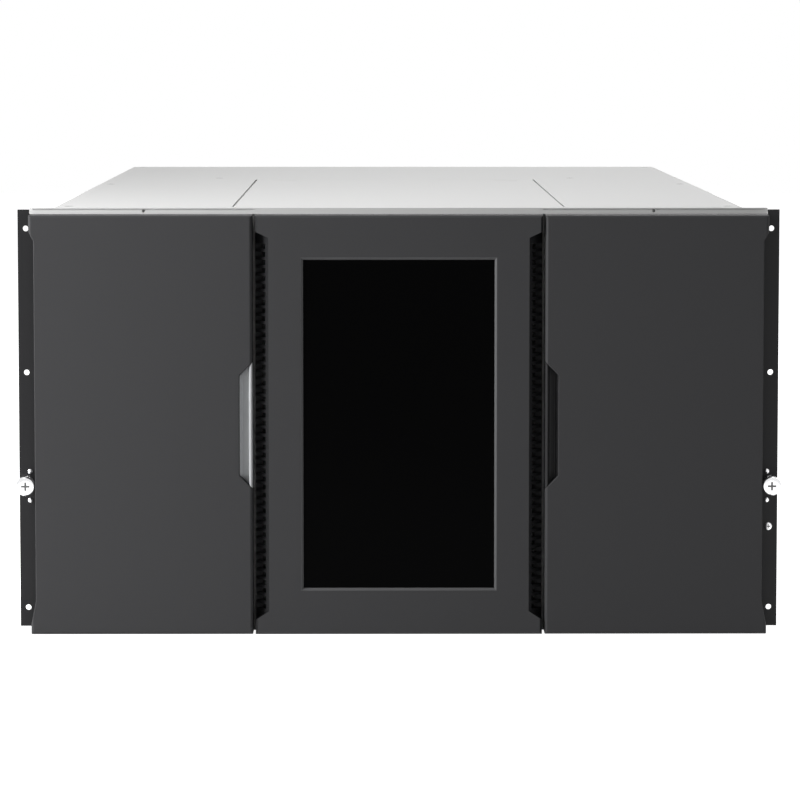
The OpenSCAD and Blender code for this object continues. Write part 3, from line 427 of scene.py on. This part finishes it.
# Heads on the ears: low domes for the rivets, a pan head for the single screw on the right ear, with a flat dark cross
# on it as painted shade for its recess
heads = {"face": -0.4205, "rivetX": 0.23075, "rivetZ": (0.0825, 0.1006), "rivet": 0.0017, "screw": (0.23175, 0.0658),
         "legX": 0.2175, "legY": -0.390, "legZ": (0.040, 0.1328, 0.2256)}


def domeProfile(radius, height, out=-1, steps=6):
    angles = np.linspace(0, math.pi / 2, steps)
    return [(radius * math.sin(a), out * height * math.cos(a)) for a in angles] + [(radius, 0.0), (0.0, 0.0)]


domes = [turned((side * heads["rivetX"], heads["face"], z), "y", domeProfile(heads["rivet"], 0.0010), 24)
         for side in (-1, 1) for z in heads["rivetZ"]]
domes.append(turned((heads["screw"][0], heads["face"], heads["screw"][1]), "y", domeProfile(0.0027, 0.0015), 32))
domes += [turned((side * heads["legX"], heads["legY"], z), "x",
                 [(r, side * -a) for r, a in domeProfile(0.0034, 0.0018)], 32)
          for side in (-1, 1) for z in heads["legZ"]]
earHeads = groupPiece("ear_heads", domes, "bright_metal", "cabinet")
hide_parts("ear_rivets")
groupPiece("ear_cross_painted_shade", [crossMark((heads["screw"][0], heads["face"] - 0.00155, heads["screw"][1]),
                                         0.0014, 0.0003)], "dark_screw", "cabinet")
print("ear heads ready")

# Knurled screw: radius = base radius + ripple(angle) inside the knurled band, profile from the front face back
knob = {"teeth": 40, "depth": 0.00022, "around": 240, "cross": (0.0026, 0.00055, 0.0012),
        "profile": ((0.0, 0.0), (0.0030, 0.0), (0.0048, 0.0), (0.0052, 0.0001), (0.0057, 0.0007), (0.0058, 0.0012),
                    (0.0058, 0.0095), (0.0056, 0.0102), (0.0050, 0.0110), (0.0032, 0.0110), (0.0030, 0.0112),
                    (0.0030, 0.0188), (0.0028, 0.0189), (0.0028, 0.0303), (0.0022, 0.0308), (0.0, 0.0308))}


def makeThumbscrew(side, x):
    low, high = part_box(side + "_thumbscrew")
    centreZ = (low.z + high.z) / 2
    turn = np.linspace(0, 2 * math.pi, knob["around"], endpoint=False)
    profile = np.array(knob["profile"])
    radius, depth = profile[:, :1], profile[:, 1:]
    band = ((depth > 0.001) & (depth < 0.0100)) * 1.0
    ripple = band * knob["depth"] * np.abs(np.cos(turn * knob["teeth"] / 2))
    r = radius + ripple
    grid = np.stack([x + r * np.cos(turn), low.y + depth + 0 * turn, centreZ + r * np.sin(turn)], axis=-1)
    faces = gridFaces(len(profile), knob["around"], closed=True)
    piece = addPiece(side + "_knurled_screw", grid.reshape(-1, 3), faces, "bright_metal", side + "_thumbscrew")
    work = bmesh.new()
    work.from_mesh(piece.data)
    bmesh.ops.remove_doubles(work, verts=work.verts, dist=0.0000005)
    bmesh.ops.recalc_face_normals(work, faces=work.faces)
    work.to_mesh(piece.data)
    work.free()
    piece.data.set_sharp_from_angle(angle=math.radians(30))
    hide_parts(side + "_thumbscrew")
    # Painted shade: a flat dark cross on the front face stands for the shaded cross recess
    long, half, deep = knob["cross"]
    arms = [(-long, -half), (-half, -half), (-half, -long), (half, -long), (half, -half), (long, -half),
            (long, half), (half, half), (half, long), (-half, long), (-half, half), (-long, half)]
    ring = np.array(arms)
    front = np.stack([x + ring[:, 0], np.full(12, low.y - 0.00004), centreZ + ring[:, 1]], axis=-1)
    cross = addPiece(side + "_screw_cross", front, [list(range(12))], "dark_screw", side + "_thumbscrew", False)
    return piece, cross


for side, x in (("left", -0.23255), ("right", 0.23255)):
    makeThumbscrew(side, x)
print("thumbscrews ready")



def boxMiddle(node):
    low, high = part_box(node)
    return [(low[k] + high[k]) / 2 for k in range(3)]


# Blade of a supply's fan: angle = start + sweep * chord place + lean * radius share; depth falls with the chord place
fan = {"blades": 7, "hub": 0.0078, "tip": 0.0185, "chord": 0.78, "lean": 0.35, "pitch": 0.0085, "thick": 0.0008,
       "rows": 9, "columns": 9, "rim": ((0.0, -0.0060), (0.0068, -0.0060), (0.0078, -0.0052), (0.0078, 0.0052),
                                         (0.0068, 0.0060), (0.0024, 0.0060), (0.0022, 0.0050), (0.0, 0.0050))}


def makeFan(number):
    centre = boxMiddle("psu_fan_%d" % number)
    share = np.linspace(0, 1, fan["rows"])[:, None]
    across = np.linspace(-0.5, 0.5, fan["columns"])
    radius = fan["hub"] - 0.0004 + share * (fan["tip"] - fan["hub"])
    parts = []
    for blade in range(fan["blades"]):
        start = 2 * math.pi * blade / fan["blades"]
        angle = start + across * fan["chord"] * (1 - 0.2 * share) + fan["lean"] * share
        points = np.stack([centre[0] + radius * np.cos(angle),
                           centre[1] + across * fan["pitch"] + 0 * share + 0.0006 * np.sin(math.pi * share),
                           centre[2] + radius * np.sin(angle)], axis=-1)
        parts.append((points.reshape(-1, 3), gridFaces(fan["rows"], fan["columns"])))
    piece = groupPiece("fan_%d_blades" % number, parts, "fan_plastic", "fan_%d" % number, 60)
    solid = piece.modifiers.new("thickness", "SOLIDIFY")
    solid.thickness = fan["thick"]
    solid.offset = 0
    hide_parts("psu_fan_%d" % number)
    hub = groupPiece("fan_%d_hub" % number, [turned(centre, "y", fan["rim"], 48)], "fan_plastic", "fan_%d" % number)
    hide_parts("psu_fan_%d" % number)


for number in (1, 2):
    makeFan(number)
print("fans ready")

# Screws at the back: knurled captive screws on sleds and controller, pan heads on the supplies' faces
rear = {"y": 0.422, "sledX": 0.072, "sledZ": 0.0363, "plate": 0.002, "controller": (-0.09525, 0.4235),
        "controllerZ": (0.040, 0.2256), "teeth": 20, "depth": 0.00015, "supplyX": (0.09925, 0.18925),
        "profile": ((0.0, 0.0), (0.0036, 0.0), (0.0036, 0.0008), (0.0021, 0.0011), (0.0021, 0.0015),
                    (0.0028, 0.0017), (0.0029, 0.0022), (0.0029, 0.0053), (0.0025, 0.0060), (0.0, 0.0060))}
sledBase = [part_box("drive_sled_%d" % number)[0].z - 0.0003 for number in range(1, 7)]
screwSpots = [(side * rear["sledX"], rear["y"] + rear["plate"], base + 0.036)
              for base in sledBase for side in (-1, 1)]
screwSpots += [(*rear["controller"], z) for z in rear["controllerZ"]]
captive = groupPiece("rear_knurled_screws",
                     [turned(spot, "y", rear["profile"], 80, rear["teeth"], rear["depth"]) for spot in screwSpots],
                     "bright_metal", "cabinet")
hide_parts("rear_thumbscrews")
# Painted shade: thin dark bars on the screws' ends stand for their shaded slots
groupPiece("rear_slots_painted_shade", [cushion((x - 0.0018, y + 0.0059, z - 0.0003), (x + 0.0018, y + 0.00605, z + 0.0003), 0.00005)
                                for x, y, z in screwSpots], "dark_screw", "cabinet")
for number in (1, 2):
    low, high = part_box("psu_%d" % number)
    faceY = rear["y"] + 0.0015
    corners = [(x, faceY, z) for x in rear["supplyX"] for z in (low.z + 0.0028, high.z - 0.0028)]
    groupPiece("supply_%d_screws" % number,
               [turned(corner, "y", domeProfile(0.0022, 0.0012, 1), 24) for corner in corners],
               "bright_metal", "supply_%d" % number)
    groupPiece("supply_%d_light" % number,
               [turned((low.x + 0.010, faceY, high.z - 0.012), "y", domeProfile(0.0015, 0.0008, 1), 24)],
               "lamp_window", "supply_%d" % number)
print("rear screws ready")

# Sockets at the back: contact tongues in the sleds' data ports, pins and lights in the controller's jacks
ports = {"sledX": (-0.062, -0.046), "jackX": -0.18015, "jackZ": (0.064, 0.090), "serialZ": 0.130, "pitch": 0.00127}
tongues = [cushion((x + 0.0024, 0.4150, base + 0.0156), (x + 0.0086, 0.4215, base + 0.0164), 0.0001)
           for x in ports["sledX"] for base in sledBase]
pins = [cushion((ports["jackX"] + 0.0035 + k * ports["pitch"], 0.4072, z + 0.0106),
                (ports["jackX"] + 0.0040 + k * ports["pitch"], 0.4180, z + 0.0111), 0.00008)
        for z in ports["jackZ"] for k in range(8)]
groupPiece("port_contacts", tongues + pins, "contact_gold", "cabinet")
groupPiece("serial_tongue", [cushion((ports["jackX"] + 0.0042, 0.4065, ports["serialZ"] + 0.0058),
                                     (ports["jackX"] + 0.0118, 0.4195, ports["serialZ"] + 0.0082), 0.0002)],
           "contact_gold", "cabinet")
lights = [turned((-0.0225, 0.424, base + 0.016), "y", domeProfile(0.0011, 0.0006, 1), 20) for base in sledBase]
lights += [turned((ports["jackX"] - 0.004, 0.4235, z + dz), "y", domeProfile(0.0011, 0.0006, 1), 20)
           for z in ports["jackZ"] for dz in (0.003, 0.011)]
groupPiece("rear_lights", lights, "lamp_window", "cabinet")
print("rear sockets ready")

# Flush screws of the covers, each with a flat black cross as painted shade for its recess
covers = {"top": 0.2656, "sideX": 0.2075, "sideY": (-0.3928, 0.0096, 0.410), "seamX": 0.1335, "seamY": 0.1415,
          "profile": ((0.0, -0.0040), (0.0012, -0.0040), (0.0012, -0.0015), (0.0015, -0.0015), (0.0030, -0.00008),
                      (0.0029, 0.0), (0.0, 0.0))}
coverSpots = [(side * covers["sideX"], y) for side in (-1, 1) for y in covers["sideY"]]
coverSpots += [(side * covers["seamX"], covers["seamY"]) for side in (-1, 1)]
flush = groupPiece("cover_screw_heads", [turned((x, y, covers["top"]), "z", covers["profile"], 32)
                                         for x, y in coverSpots], "dark_screw", "cabinet")
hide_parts("cover_screws")
bars = [cushion((x - a, y - b, covers["top"] - 0.0002), (x + a, y + b, covers["top"] + 0.00003), 0.00002)
        for x, y in coverSpots for a, b in ((0.0016, 0.0003), (0.0003, 0.0016))]
groupPiece("cover_crosses_painted_shade", bars, "black_paint", "cabinet")
print("cover screws ready")

# Write-protect tabs on the cartridges' front edges
tabs = {"x": 0.1061, "out": 0.0003, "y": -0.401, "columnPitch": 0.110, "rowPitch": 0.0289, "foot": 0.0227,
        "at": (0.0848, 0.0940), "z": (0.0080, 0.0138)}


def makeTabs(side, body, firstRow):
    parts = []
    for column in range(5):
        for row in range(firstRow, 8):
            y, z = tabs["y"] + 0.0008 + column * tabs["columnPitch"], tabs["foot"] + row * tabs["rowPitch"]
            xs = sorted((side * (tabs["x"] - tabs["out"]), side * (tabs["x"] + 0.001)))
            parts.append(cushion((xs[0], y + tabs["at"][0], z + tabs["z"][0]),
                                 (xs[1], y + tabs["at"][1], z + tabs["z"][1]), 0.0002))
    groupPiece(body + "_tabs", parts, "tab_plastic", body)


makeTabs(-1, "left_magazine", 1)
makeTabs(1, "right_magazine", 0)
print("cartridge tabs ready")

# Robot fittings: bearing flanges on the platform, screws on the carriage, a scanner on the picker
robot = {"railX": 0.0896, "shaftY": (-0.4038, 0.1738), "shaftZ": 0.011, "screwX": 0.0846, "screwZ": 0.0162,
         "flange": ((0.0031, 0.0), (0.0055, 0.0), (0.0055, 0.0012), (0.0046, 0.0015), (0.0031, 0.0015), (0.0031, 0.0)),
         "carriageY": -0.1275, "screwReach": 0.028}
flanges = [turned((side * robot["railX"], y, robot["shaftZ"]), "x",
                  [(r, -side * a) for r, a in robot["flange"]], 40) for side in (-1, 1) for y in robot["shaftY"]]
groupPiece("platform_bearings", flanges, "shaft_steel", "lift")
groupPiece("carriage_screws", [turned((side * robot["screwX"], robot["carriageY"] + reach, robot["screwZ"]), "z",
                                      domeProfile(0.0025, 0.0013, 1), 24)
                               for side in (-1, 1) for reach in (-robot["screwReach"], robot["screwReach"])],
           "bright_metal", "carriage")
pickLow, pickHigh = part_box("picker_housing")
groupPiece("picker_scanner", [cushion((pickLow.x - 0.006, robot["carriageY"] - 0.014, 0.026),
                                      (pickLow.x + 0.0005, robot["carriageY"] + 0.014, 0.042), 0.0007)],
           "picker_plastic", "picker")
groupPiece("scanner_window", [cushion((pickLow.x - 0.0063, robot["carriageY"] - 0.010, 0.030),
                                      (pickLow.x - 0.0055, robot["carriageY"] + 0.010, 0.038), 0.0001)],
           "screen_glass", "picker")
print("robot fittings ready")
